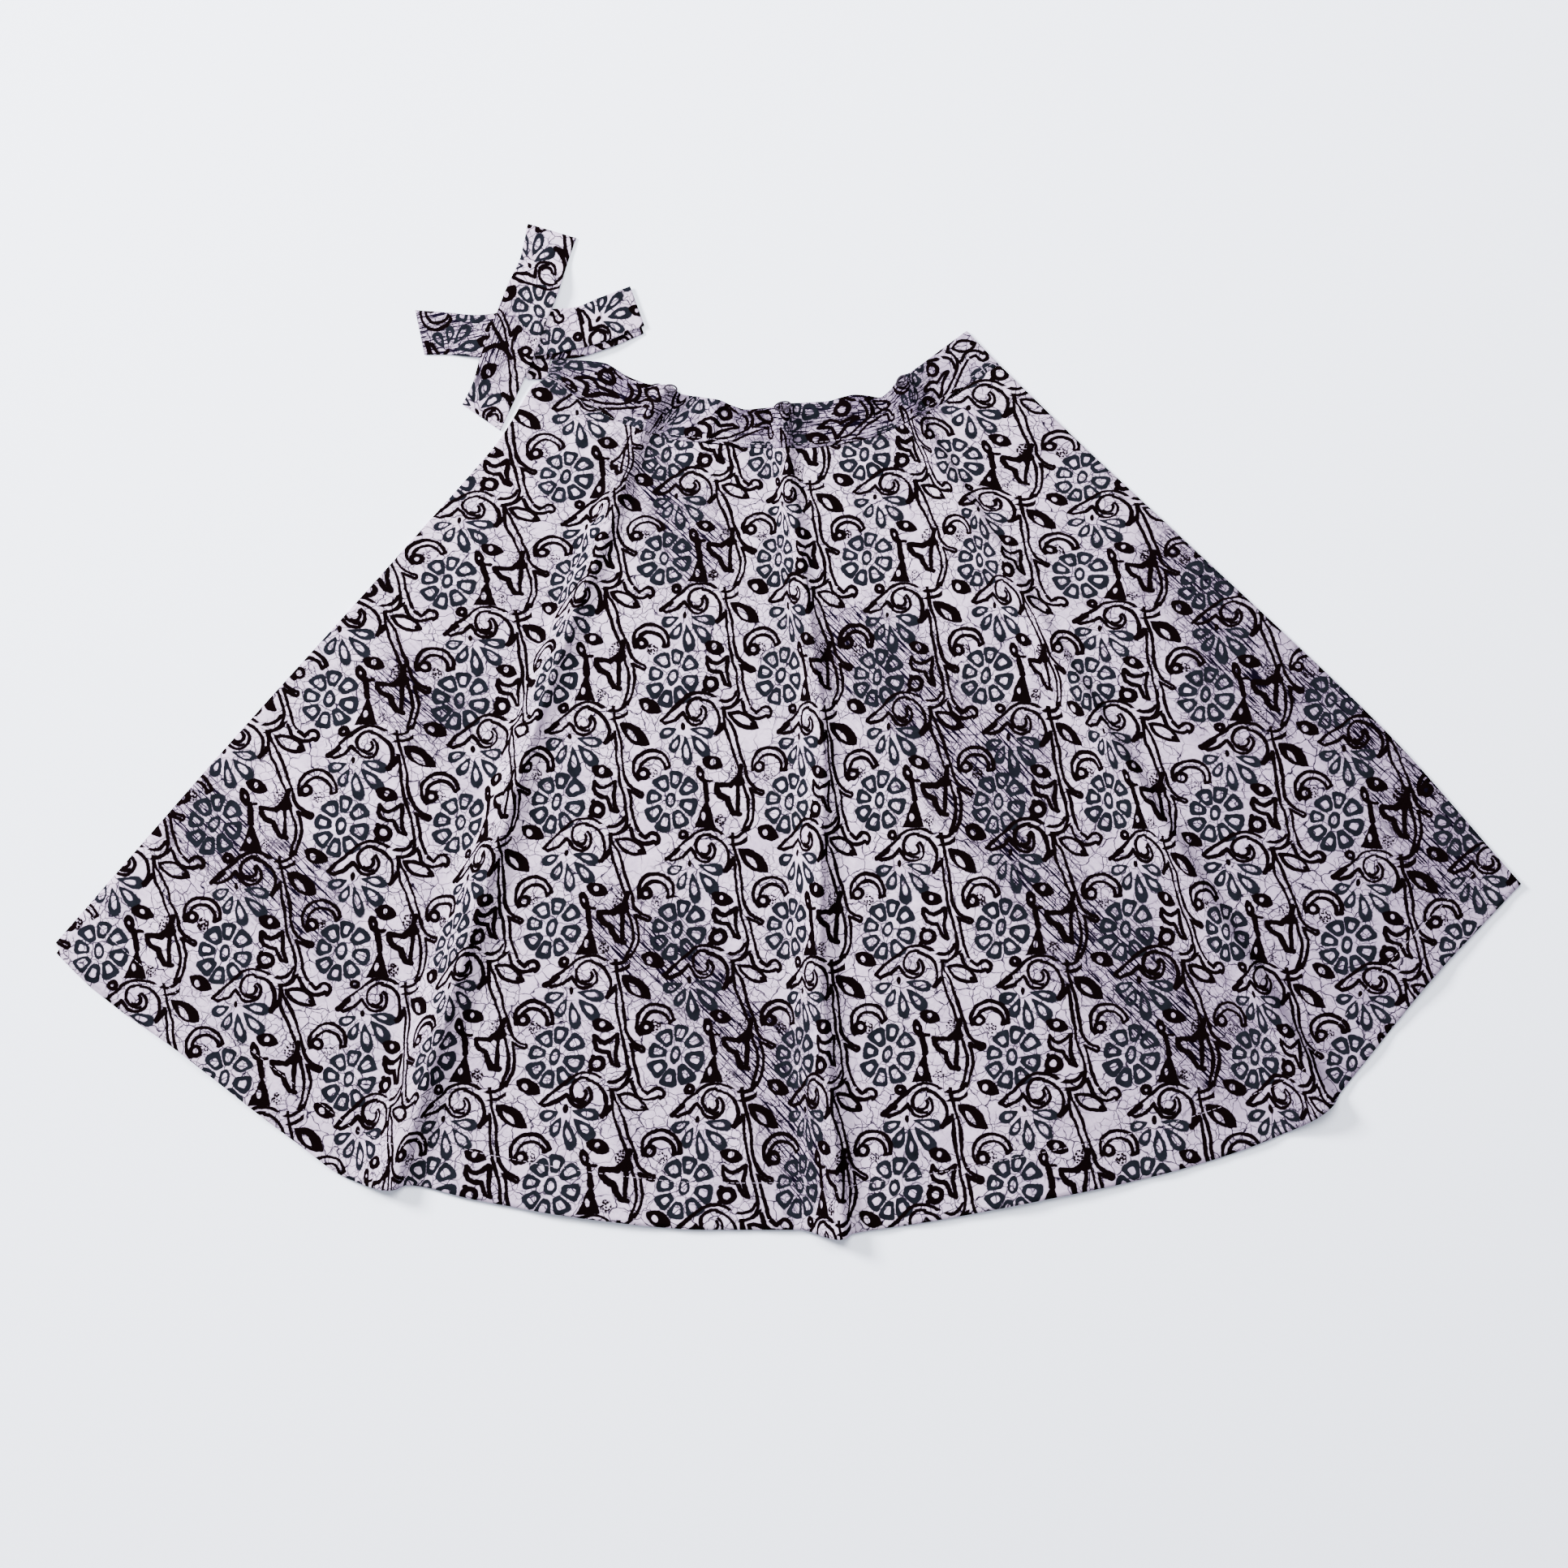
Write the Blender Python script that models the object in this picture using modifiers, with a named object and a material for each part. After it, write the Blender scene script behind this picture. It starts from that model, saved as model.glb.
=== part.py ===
"""A wrap skirt in printed cotton, tied round and laid flat, seen from above.

The flared skirt lies doubled: the back panel on the table, the front panel on it, both sewn into a
narrow waistband. The right side is the fold of the cloth, the left side its free edges, and the two
ties are gathered in a small crossed heap by the open end of the waistband. Three tall flutes stand
in the front panel and run on through the waistband, where they end as loops at its top edge.

Units are metres, +Z is up and the table is at z = 0. +X is to the right of the laid skirt and +Y is
towards its waist. The origin is under the middle of the whole skirt.
"""

from collections import namedtuple

import bmesh
import bpy
import numpy as np

MM = 0.001

# The cloth
CLOTH = 1.2 * MM
GAP = 0.3 * MM
LEVEL = CLOTH + GAP

# Shares of the way from the waist seam down to the hem at which the cloth is given
SEAM, HIP, UPPER, LOWER, HEM = 0.0, 0.12, 0.35, 0.68, 1.0

# Rows of faces, and how many times closer the waistband's columns are than the panel's
PANEL_ROWS = 18
BACK_ROWS = 10
BAND_ROWS = 4
BAND_FINER = 2
TIE_ROWS = 3
TIE_STEPS = 4

# Lines of cloth from the left edge to the right fold, in millimetres from the middle of the skirt.
# Each runs from the waist seam to the hem, and steps is the number of faces to the next line.
Line = namedtuple("Line", "steps seam_x seam_y hem_x hem_y")
LINES = [
    Line(2, -195, 264, -559, -162),
    Line(3, -184, 268, -532, -192),
    Line(3, -159, 252, -456, -252),
    Line(3, -136, 239, -371, -318),
    Line(5, -124, 233, -336, -342),
    Line(4, -112, 229, -304, -350),
    Line(3, -104, 226, -292, -347),
    Line(3, -89, 222, -240, -358),
    Line(3, -63, 219, -150, -373),
    Line(3, -35, 216, -62, -381),
    Line(5, -14, 215, 8, -381),
    Line(4, -2, 215, 39, -387),
    Line(3, 5, 215, 49, -384),
    Line(3, 30, 217, 101, -376),
    Line(3, 55, 221, 185, -360),
    Line(3, 76, 228, 284, -339),
    Line(5, 87, 233, 375, -309),
    Line(4, 97, 238, 409, -290),
    Line(3, 104, 242, 422, -275),
    Line(3, 117, 249, 455, -234),
    Line(2, 132, 260, 492, -188),
    Line(2, 147, 270, 527, -151),
    Line(0, 161, 279, 559, -117),
]
LEFT_EDGE, BAND_END, RIGHT_FOLD = 0, 1, 22
LEFT_FLUTE, MIDDLE_FLUTE, RIGHT_FLUTE = 5, 11, 17

# Top edge of the waistband, in millimetres, one row for each line from the end of the band
BandTop = namedtuple("BandTop", "x y")
BAND_TOPS = [
    BandTop(-180, 284),
    BandTop(-143, 281),
    BandTop(-122, 270),
    BandTop(-104, 264),
    BandTop(-91, 264),
    BandTop(-82, 257),
    BandTop(-72, 255),
    BandTop(-54, 252),
    BandTop(-32, 245),
    BandTop(-13, 247),
    BandTop(-5, 250),
    BandTop(3, 250),
    BandTop(27, 251),
    BandTop(51, 256),
    BandTop(68, 254),
    BandTop(79, 261),
    BandTop(86, 271),
    BandTop(92, 273),
    BandTop(101, 279),
    BandTop(113, 288),
    BandTop(125, 297),
    BandTop(136, 305),
]

# How far a line swings to the right of the straight run from seam to hem, in millimetres
Swing = namedtuple("Swing", "line hip upper lower")
SWINGS = [
    Swing(LEFT_EDGE, 11, 8, 2),
    Swing(2, 5, 4, 1),
    Swing(3, 0, -2, -2),
    Swing(LEFT_FLUTE, -3, -9, -5),
    Swing(8, 0, 0, 0),
    Swing(MIDDLE_FLUTE, 3, 10, -4),
    Swing(14, 0, 0, 0),
    Swing(RIGHT_FLUTE, 0, 0, 0),
    Swing(20, 0, 2, 6),
    Swing(RIGHT_FOLD, 1, 7, 14),
]

# How high a line stands above the cloth under it, in millimetres: tall flutes and low swells
Flute = namedtuple("Flute", "line band seam hip upper lower hem")
FLUTES = [
    Flute(2, 0, 0, 1, 2, 3, 2),
    Flute(LEFT_FLUTE, 12, 7, 6, 8, 12, 11),
    Flute(8, 4, 1, 0, 1, 2, 3),
    Flute(MIDDLE_FLUTE, 12, 7, 6, 8, 12, 13),
    Flute(14, 4, 1, 0, 1, 2, 3),
    Flute(RIGHT_FLUTE, 12, 7, 5, 6, 12, 11),
    Flute(20, 1, 1, 1, 3, 4, 3),
]

# Small gathers in the waistband, in millimetres: x on the waist seam, half width, and height at the top
Gather = namedtuple("Gather", "x half_width rise")
GATHERS = [
    Gather(-150, 7, 1.2),
    Gather(-128, 5, 1.6),
    Gather(-81, 5, 2.4),
    Gather(-62, 4, 2.8),
    Gather(-44, 5, 1.8),
    Gather(-24, 4, 2.6),
    Gather(21, 5, 1.6),
    Gather(44, 6, 2.2),
    Gather(66, 5, 2.8),
    Gather(112, 4, 2.6),
    Gather(124, 6, 1.4),
]
GATHER_AT_SEAM = 0.5

# How far the back panel's hem shows below the front one, in millimetres
BackHem = namedtuple("BackHem", "line shows")
BACK_HEMS = [
    BackHem(LEFT_EDGE, 8),
    BackHem(BAND_END, 5),
    BackHem(2, 0),
    BackHem(3, -3),
    BackHem(20, -3),
    BackHem(RIGHT_FOLD, 0),
]
HEM_TURN = 8

# The ties, as sections across each strip in millimetres. A level is one layer of cloth up.
Section = namedtuple("Section", "first_x first_y second_x second_y level")
LONG_TIE = [
    Section(-199, 387, -162, 376, 0),
    Section(-205, 360, -168, 359, 0.5),
    Section(-214, 339, -175, 335, 4),
    Section(-222, 319, -183, 315, 4),
    Section(-235, 284, -196, 280, 4),
    Section(-241, 265, -204, 263, 1.5),
    Section(-249, 249, -220, 229, 0),
]
CROSS_TIE = [
    Section(-285, 321, -278, 287, 0),
    Section(-259, 319, -261, 287, 0.2),
    Section(-237, 317, -237, 285, 1.5),
    Section(-215, 319, -215, 285, 3),
    Section(-190, 321, -190, 286, 3),
    Section(-166, 322, -165, 290, 3),
    Section(-144, 330, -139, 297, 2.8),
    Section(-121, 339, -110, 309, 1),
]
CROSS_TIE_FOLD = [
    Section(-211, 317, -211, 283.5, 2),
    Section(-190, 319, -190, 283.5, 2),
    Section(-166, 320, -165, 284, 2),
    Section(-144, 328, -139, 291, 1.8),
    Section(-122, 337, -110.5, 303, 0),
]
TIE_ROOT = [
    Section(-211, 307, -182, 307, 0),
    Section(-209, 290, -181.5, 290, 0.6),
    Section(-205, 280, -181.7, 280, 1),
    Section(-199, 268, -184.6, 268, 1),
]

# Colour, roughness and sheen of each cloth
GROUND = (0.46, 0.42, 0.47)
SHADED_GROUND = (0.36, 0.32, 0.38)
ROUGHNESS = 0.85
SHEEN = 0.15


def smooth(stations, values, places):
    """Values at some places, on a curve through the stations that never overshoots them."""
    stations = np.asarray(stations, float)
    places = np.asarray(places, float)
    values = np.asarray(values, float).reshape(len(stations), -1)
    gaps = np.diff(stations)[:, None]
    slopes = np.diff(values, axis=0) / gaps
    tangents = np.zeros_like(values)
    tangents[0] = slopes[0]
    tangents[-1] = slopes[-1]
    before, after = slopes[:-1], slopes[1:]
    level = before * after <= 0
    early = gaps[:-1] + 2 * gaps[1:]
    late = 2 * gaps[:-1] + gaps[1:]
    rising_before = np.where(level, 1.0, before)
    rising_after = np.where(level, 1.0, after)
    mean = (early + late) / (early / rising_before + late / rising_after)
    tangents[1:-1] = np.where(level, 0.0, mean)
    cell = np.clip(np.searchsorted(stations, places, side="right") - 1, 0, len(stations) - 2)
    share = (places - stations[cell])[:, None] / gaps[cell]
    back = 1 - share
    start = values[cell] * (1 + 2 * share) * back**2 + tangents[cell] * gaps[cell] * share * back**2
    end = values[cell + 1] * (3 - 2 * share) * share**2 - tangents[cell + 1] * gaps[cell] * back * share**2
    return start + end


def column(rows, *names):
    """The named columns of a table, as an array with a row for each of its rows."""
    return np.array([[getattr(row, name) for name in names] for row in rows], float)


def hem_runs():
    """Distance along the hem of each line of cloth."""
    steps = np.diff(column(LINES, "hem_x", "hem_y"), axis=0)
    return np.concatenate([[0.0], np.cumsum(np.linalg.norm(steps, axis=1))])


RUNS = hem_runs()


def face_runs(first_line=0, coarse=False, finer=1):
    """Distance along the hem of each column of corners, from a line to the right fold."""
    runs = [RUNS[first_line]]
    for line, start, end in zip(LINES[first_line:], RUNS[first_line:], RUNS[first_line + 1 :]):
        steps = 1 if coarse else line.steps * finer
        runs.extend(start + (end - start) * (step + 1) / steps for step in range(steps))
    return np.array(runs)


def swing_at(runs, down):
    """Sideways swing of the cloth, for each row down the skirt and each column."""
    table = np.zeros((5, len(runs)))
    lines = RUNS[[swing.line for swing in SWINGS]]
    table[1:4] = smooth(lines, column(SWINGS, "hip", "upper", "lower"), runs).T
    return smooth([SEAM, HIP, UPPER, LOWER, HEM], table, down)


def rise_at(runs, *names):
    """Height of the flutes and swells at each column, a row for each named place down them."""
    rises = np.zeros((len(LINES), len(names)))
    for flute in FLUTES:
        rises[flute.line] = [getattr(flute, name) for name in names]
    return smooth(RUNS, rises, runs).T


def gathers_at(seam_x):
    """Height that the small gathers add at the waistband's top edge, at places on the waist seam."""
    x, half_width, rise = column(GATHERS, "x", "half_width", "rise").T[:, :, None]
    return (rise * np.exp(-(((seam_x - x) / half_width) ** 2))).sum(axis=0)


def panel_points(runs, rows):
    """Front panel's underside, rows from seam to hem and columns from left to right, in millimetres."""
    down = np.linspace(SEAM, HEM, rows + 1)
    seam = smooth(RUNS, column(LINES, "seam_x", "seam_y"), runs)
    hem = smooth(RUNS, column(LINES, "hem_x", "hem_y"), runs)
    points = np.zeros((rows + 1, len(runs), 3))
    points[:, :, :2] = seam + (hem - seam) * down[:, None, None]
    points[:, :, 0] += swing_at(runs, down)
    rises = rise_at(runs, "seam", "hip", "upper", "lower", "hem")
    points[:, :, 2] = smooth([SEAM, HIP, UPPER, LOWER, HEM], rises, down)
    return points


def back_points(runs, rows):
    """Back panel's underside: the front one laid flat, with its own hem."""
    points = panel_points(runs, rows)
    points[:, :, 2] = 0
    lines = RUNS[[hem.line for hem in BACK_HEMS]]
    shows = smooth(lines, column(BACK_HEMS, "shows"), runs)
    down = np.linspace(SEAM, HEM, rows + 1)[:, None]
    points[:, :, 1] -= shows[:, 0] * down**HEM_TURN
    return points


def band_points(runs, rows):
    """Waistband's underside, rows from its top edge to the waist seam, in millimetres."""
    up = np.linspace(1, 0, rows + 1)[:, None, None]
    seam = smooth(RUNS, column(LINES, "seam_x", "seam_y"), runs)
    top = smooth(RUNS[BAND_END:], column(BAND_TOPS, "x", "y"), runs)
    parting = (top - seam) / np.linalg.norm(top - seam, axis=1)[:, None] * GAP / MM
    seam = seam + parting
    points = np.zeros((rows + 1, len(runs), 3))
    points[:, :, :2] = seam + (top - seam) * up
    top_rise, seam_rise = rise_at(runs, "band", "seam")
    gathers = gathers_at(seam[:, 0])
    top_rise = top_rise + gathers
    seam_rise = seam_rise + gathers * GATHER_AT_SEAM
    points[:, :, 2] = seam_rise + (top_rise - seam_rise) * up[:, :, 0]
    return points


def strip_points(sections, rows, steps):
    """Underside of a tie: sections along it by points across it, in millimetres."""
    stations = np.arange(len(sections))
    places = np.linspace(0, len(sections) - 1, (len(sections) - 1) * steps + 1)
    names = ("first_x", "first_y", "second_x", "second_y", "level")
    read = smooth(stations, column(sections, *names), places)
    across = np.linspace(0, 1, rows + 1)[None, :, None]
    first, second = read[:, None, 0:2], read[:, None, 2:4]
    points = np.zeros((len(places), rows + 1, 3))
    points[:, :, :2] = first + (second - first) * across
    points[:, :, 2] = read[:, 4:5] * LEVEL / MM
    return points


def cotton(name, colour):
    """A plain cotton finish."""
    material = bpy.data.materials.new(name)
    material.use_nodes = True
    shader = material.node_tree.nodes["Principled BSDF"]
    shader.inputs["Base Color"].default_value = (*colour, 1)
    shader.inputs["Roughness"].default_value = ROUGHNESS
    shader.inputs["Metallic"].default_value = 0
    shader.inputs["Sheen Weight"].default_value = SHEEN
    material.diffuse_color = (*colour, 1)
    return material


def cloth(name, points, level, colour, collection):
    """A wall of cloth whose underside runs through the points, with a level of layers under it.

    Rows of points run towards -Y and columns towards +X, so the grid faces up.
    """
    rows, columns = points.shape[:2]
    grid = bmesh.new()
    bmesh.ops.create_grid(grid, x_segments=columns - 1, y_segments=rows - 1, size=1)
    for corner in grid.verts:
        row = round((1 - corner.co.y) / 2 * (rows - 1))
        place = round((1 + corner.co.x) / 2 * (columns - 1))
        corner.co = points[row, place] * MM
        corner.co.z += level * LEVEL
    mesh = bpy.data.meshes.new(name)
    grid.to_mesh(mesh)
    grid.free()
    mesh.shade_smooth()
    mesh.materials.append(cotton(name + "_cotton", colour))
    piece = bpy.data.objects.new(name, mesh)
    collection.objects.link(piece)
    wall = piece.modifiers.new("wall", "SOLIDIFY")
    wall.thickness = CLOTH
    wall.offset = 1
    wall.use_even_offset = True
    return piece


def build():
    """The whole skirt, from the table up."""
    for thing in list(bpy.data.objects):
        bpy.data.objects.remove(thing)
    skirt = bpy.data.collections.new("wrap_skirt")
    bpy.context.scene.collection.children.link(skirt)

    cloth("back_panel", back_points(face_runs(coarse=True), BACK_ROWS), 0, GROUND, skirt)
    cloth("front_panel", panel_points(face_runs(), PANEL_ROWS), 1, GROUND, skirt)

    back_band = band_points(face_runs(BAND_END, coarse=True), 1)
    back_band[:, :, 2] = 0
    cloth("waistband_back", back_band, 0, SHADED_GROUND, skirt)
    front_band = band_points(face_runs(BAND_END, finer=BAND_FINER), BAND_ROWS)
    cloth("waistband_front", front_band, 1, SHADED_GROUND, skirt)

    cloth("tie_root", strip_points(TIE_ROOT, TIE_ROWS, TIE_STEPS), 0, GROUND, skirt)
    for name, sections in (("tie_cross_fold", CROSS_TIE_FOLD), ("tie_cross", CROSS_TIE)):
        points = strip_points(sections, TIE_ROWS, TIE_STEPS)
        cloth(name, np.swapaxes(points, 0, 1), 0, SHADED_GROUND, skirt)
    cloth("tie_long", strip_points(LONG_TIE, TIE_ROWS, TIE_STEPS), 0, GROUND, skirt)


build()
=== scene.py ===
"""The looks of the printed cotton wrap skirt: thin cloth shells on the forms of its solids, and its print.

The panels, waistband and ties repeat the lines of cloth of the part's source, with finer steps, small
creases and turned edges. The print is a vine of flowers in two inks, charted in millimetres
round the middle of a rosette, one chart for each of the two kinds of cell that stand like the squares
of a chessboard. Lengths in tables are millimetres and lengths in Blender are metres.
"""

import math
from collections import namedtuple
from functools import reduce

import bmesh
import bpy
import numpy as np
from mathutils import Matrix, Vector


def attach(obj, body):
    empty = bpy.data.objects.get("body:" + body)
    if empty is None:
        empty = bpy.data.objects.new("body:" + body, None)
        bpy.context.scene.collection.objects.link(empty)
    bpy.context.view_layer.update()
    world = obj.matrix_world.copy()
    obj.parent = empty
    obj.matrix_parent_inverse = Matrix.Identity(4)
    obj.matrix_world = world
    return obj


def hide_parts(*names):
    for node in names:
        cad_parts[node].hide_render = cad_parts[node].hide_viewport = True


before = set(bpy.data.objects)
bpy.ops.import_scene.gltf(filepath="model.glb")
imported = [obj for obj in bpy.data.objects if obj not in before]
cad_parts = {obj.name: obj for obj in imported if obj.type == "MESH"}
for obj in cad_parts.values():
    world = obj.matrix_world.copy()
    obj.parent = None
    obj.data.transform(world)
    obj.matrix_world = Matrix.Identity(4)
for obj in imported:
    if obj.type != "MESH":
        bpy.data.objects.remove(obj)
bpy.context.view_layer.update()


def table(columns, *rows):
    """The rows of a table, with a name for each of its columns."""
    row_kind = namedtuple("Row", columns)
    return [row_kind(*row) for row in rows]


MM = 0.001
PER_METRE = 1 / MM

# The photograph's frame on the surface, straight under the camera, at 0.62 mm a pixel
CAMERA_HEIGHT = 2.5
FRAME_WIDTH = 1932 * 0.62 * MM
FRAME_MIDDLE = (-3.4 * MM, -40.9 * MM)
SENSOR_WIDTH = 36

# The pale surface and its soft lights, in metres and watts
SURFACE_REACH = 4
SURFACE_DROP = 0.2 * MM
LIGHTS = table(
    "name place size power",
    ("key", (-3.4, 2.0, 2.2), 1.1, 980),
    ("top", (0.1, 0.7, 1.8), 1.0, 74),
)
SKY_COLOUR = (0.92, 0.95, 1, 1)
SKY_STRENGTH = 0.79

# The cloth
CLOTH = 1.2 * MM
GAP = 0.3 * MM
LEVEL = CLOTH + GAP

# Shares of the way from the waist seam down to the hem at which the cloth is given
SEAM, HIP, UPPER, LOWER, HEM = 0.0, 0.12, 0.35, 0.68, 1.0
STATIONS = (SEAM, HIP, UPPER, LOWER, HEM)

# Rows of faces, and how many times closer the columns are than in the solids
PANEL_ROWS = 150
PANEL_FINER = 3
BACK_ROWS = 60
BACK_FINER = 1
BAND_ROWS = 20
BAND_FINER = 5
BAND_UP = np.linspace(1, 0, BAND_ROWS + 1)[:, None]
TIE_ROWS = 24
TIE_STEPS = 14

# Lines of cloth from the left edge to the right fold. Each runs from the waist seam to the hem, and
# steps is the number of faces to the next line.
LINES = table(
    "steps seam_x seam_y hem_x hem_y",
    (2, -195, 264, -559, -162),
    (3, -184, 268, -532, -192),
    (3, -159, 252, -456, -252),
    (3, -136, 239, -371, -318),
    (5, -124, 233, -336, -342),
    (4, -112, 229, -304, -350),
    (3, -104, 226, -292, -347),
    (3, -89, 222, -240, -358),
    (3, -63, 219, -150, -373),
    (3, -35, 216, -62, -381),
    (5, -14, 215, 8, -381),
    (4, -2, 215, 39, -387),
    (3, 5, 215, 49, -384),
    (3, 30, 217, 101, -376),
    (3, 55, 221, 185, -360),
    (3, 76, 228, 284, -339),
    (5, 87, 233, 375, -309),
    (4, 97, 238, 409, -290),
    (3, 104, 242, 422, -275),
    (3, 117, 249, 455, -234),
    (2, 132, 260, 492, -188),
    (2, 147, 270, 527, -151),
    (0, 161, 279, 559, -117),
)
LEFT_EDGE, BAND_END, RIGHT_FOLD = 0, 1, 22
LEFT_FLUTE, MIDDLE_FLUTE, RIGHT_FLUTE = 5, 11, 17

# Top edge of the waistband, one row for each line from the end of the band
BAND_TOPS = table(
    "x y",
    (-180, 284),
    (-143, 281),
    (-122, 270),
    (-104, 264),
    (-91, 264),
    (-82, 257),
    (-72, 255),
    (-54, 252),
    (-32, 245),
    (-13, 247),
    (-5, 250),
    (3, 250),
    (27, 251),
    (51, 256),
    (68, 254),
    (79, 261),
    (86, 271),
    (92, 273),
    (101, 279),
    (113, 288),
    (125, 297),
    (136, 305),
)

# How far a line swings to the right of the straight run from seam to hem
SWINGS = table(
    "line hip upper lower",
    (LEFT_EDGE, 11, 8, 2),
    (2, 5, 4, 1),
    (3, 0, -2, -2),
    (LEFT_FLUTE, -3, -9, -5),
    (8, 0, 0, 0),
    (MIDDLE_FLUTE, 3, 10, -4),
    (14, 0, 0, 0),
    (RIGHT_FLUTE, 0, 0, 0),
    (20, 0, 2, 6),
    (RIGHT_FOLD, 1, 7, 14),
)

# How high a line stands above the cloth under it: tall flutes and low swells
FLUTES = table(
    "line band seam hip upper lower hem",
    (2, 0, 0, 1, 2, 3, 2),
    (LEFT_FLUTE, 12, 7, 6, 8, 12, 11),
    (8, 4, 1, 0, 1, 2, 3),
    (MIDDLE_FLUTE, 12, 7, 6, 8, 12, 13),
    (14, 4, 1, 0, 1, 2, 3),
    (RIGHT_FLUTE, 12, 7, 5, 6, 12, 11),
    (20, 1, 1, 1, 3, 4, 3),
)

# Small gathers in the waistband: x on the waist seam, half width, and height at the top
GATHERS = table(
    "x half_width rise",
    (-150, 7, 1.2),
    (-128, 5, 1.6),
    (-81, 5, 2.4),
    (-62, 4, 2.8),
    (-44, 5, 1.8),
    (-24, 4, 2.6),
    (21, 5, 1.6),
    (44, 6, 2.2),
    (66, 5, 2.8),
    (112, 4, 2.6),
    (124, 6, 1.4),
)
GATHER_AT_SEAM = 0.5

# Open tops of the flutes: how far the front band's edge draws back there, and how high the back one lifts
MOUTHS = table(
    "x half_width back lift",
    (-90.5, 4.4, 5.5, 3),
    (-5, 4.6, 5.5, 3.4),
    (86, 3.4, 5, 3),
)
BACK_CURVE = 2
LIFT_CURVE = 7

# The cloth's edge rolls into a short oval tube at each open top, turned and leaning by some degrees
RIMS = table(
    "x y turn half_length half_width",
    (-89.4, 259.8, -10, 5.2, 3.1),
    (-4.6, 246.4, 14, 6.8, 3.6),
    (85.4, 265.6, 58, 4.8, 3.0),
)
RIM_SIDES = 28
RIM_MIDDLE = 13
RIM_DEPTH = 5
RIM_LEAN = 8

# How far the back panel's hem shows below the front one
BACK_HEMS = table(
    "line shows",
    (LEFT_EDGE, 8),
    (BAND_END, 5),
    (2, 0),
    (3, -3),
    (20, -3),
    (RIGHT_FOLD, 0),
)
HEM_TURN = 8

# The ties, as sections across each strip. A level is one layer of cloth up.
SECTION = "first_x first_y second_x second_y level"
LONG_TIE = table(
    SECTION,
    (-199, 387, -162, 376, 0),
    (-205, 360, -168, 359, 0.5),
    (-214, 339, -175, 335, 4),
    (-222, 319, -183, 315, 4),
    (-235, 284, -196, 280, 4),
    (-241, 265, -204, 263, 1.5),
    (-249, 249, -220, 229, 0),
)
CROSS_TIE = table(
    SECTION,
    (-285, 321, -278, 287, 0),
    (-259, 319, -261, 287, 0.2),
    (-237, 317, -237, 285, 1.5),
    (-215, 319, -215, 285, 3),
    (-190, 321, -190, 286, 3),
    (-166, 322, -165, 290, 3),
    (-144, 330, -139, 297, 2.8),
    (-121, 339, -110, 309, 1),
)
CROSS_TIE_FOLD = table(
    SECTION,
    (-211, 317, -211, 283.5, 2),
    (-190, 319, -190, 283.5, 2),
    (-166, 320, -165, 284, 2),
    (-144, 328, -139, 291, 1.8),
    (-122, 337, -110.5, 303, 0),
)
TIE_ROOT = table(
    SECTION,
    (-211, 307, -182, 307, 0),
    (-209, 290, -181.5, 290, 0.6),
    (-205, 280, -181.7, 280, 1),
    (-199, 268, -184.6, 268, 1),
)

# The ties from the table up. One that lies across has its sections upright, and a shaded one has the
# darker cotton of the waistband, as painted shade, since it lies in the others' shade. The print is turned
# by some degrees, so that a spot of the printed cloth lies at a mark. Flat sizes are metres.
TIES = table(
    "node sections across shaded turn mark spot flat held",
    ("tie_root", TIE_ROOT, False, False, -75, (-196, 288), (-40, 66), (0.028, 0.04), "laid"),
    ("tie_cross_fold", CROSS_TIE_FOLD, True, True, 12, (-150, 310), (0, 40), (0.105, 0.034), "folded"),
    ("tie_cross", CROSS_TIE, True, False, -36, (-147, 314.4), (10.4, 49.8), (0.18, 0.034), "folded"),
    ("tie_long", LONG_TIE, False, False, 22, (-190, 319.3), (1.6, -0.7), (0.037, 0.165), "laid"),
)

# Soft creases in the front panel, from one point of the laid skirt to another
CREASES = table(
    "x1 y1 x2 y2 half_width height",
    (-150, 238, -205, 150, 6, 1.6),
    (-139, 226, -172, 168, 5, 1.3),
    (-96, 216, -112, 150, 5, 1.5),
    (-76, 214, -84, 168, 5, 1.4),
    (-58, 213, -70, 120, 6, 1.6),
    (-40, 210, -46, 160, 5, 1.2),
    (-22, 209, -27, 118, 6, 1.5),
    (20, 210, 26, 150, 5, 1.3),
    (42, 212, 58, 110, 6, 1.7),
    (62, 217, 76, 160, 5, 1.4),
    (80, 222, 104, 172, 5, 1.6),
    (114, 238, 158, 180, 6, 1.8),
    (128, 247, 182, 196, 6, 1.3),
    (-300, -40, -345, -130, 11, 1.2),
    (-420, -120, -462, -215, 12, 1.4),
    (-398, -196, -430, -262, 10, 1.5),
    (-505, -130, -540, -185, 9, 1.1),
    (-210, -240, -228, -345, 12, 1.5),
    (-262, -160, -276, -250, 9, 1.0),
    (-128, -205, -140, -368, 13, 1.7),
    (-92, -60, -104, -170, 12, 1.0),
    (-30, -280, -36, -378, 11, 1.6),
    (-180, 20, -196, -60, 10, 0.9),
    (78, -250, 84, -374, 12, 1.6),
    (120, -40, 150, -150, 12, 1.1),
    (142, -270, 156, -362, 10, 1.4),
    (196, -170, 232, -300, 13, 1.6),
    (262, -240, 300, -330, 11, 1.5),
    (214, 40, 262, -30, 12, 1.0),
    (330, -210, 352, -300, 9, 1.2),
    (396, -90, 452, -180, 12, 1.6),
    (300, 90, 372, 20, 13, 1.3),
    (452, -70, 506, -130, 10, 1.4),
    (250, 160, 330, 88, 12, 1.1),
)
CREASE_TAPER = 0.7

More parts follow.
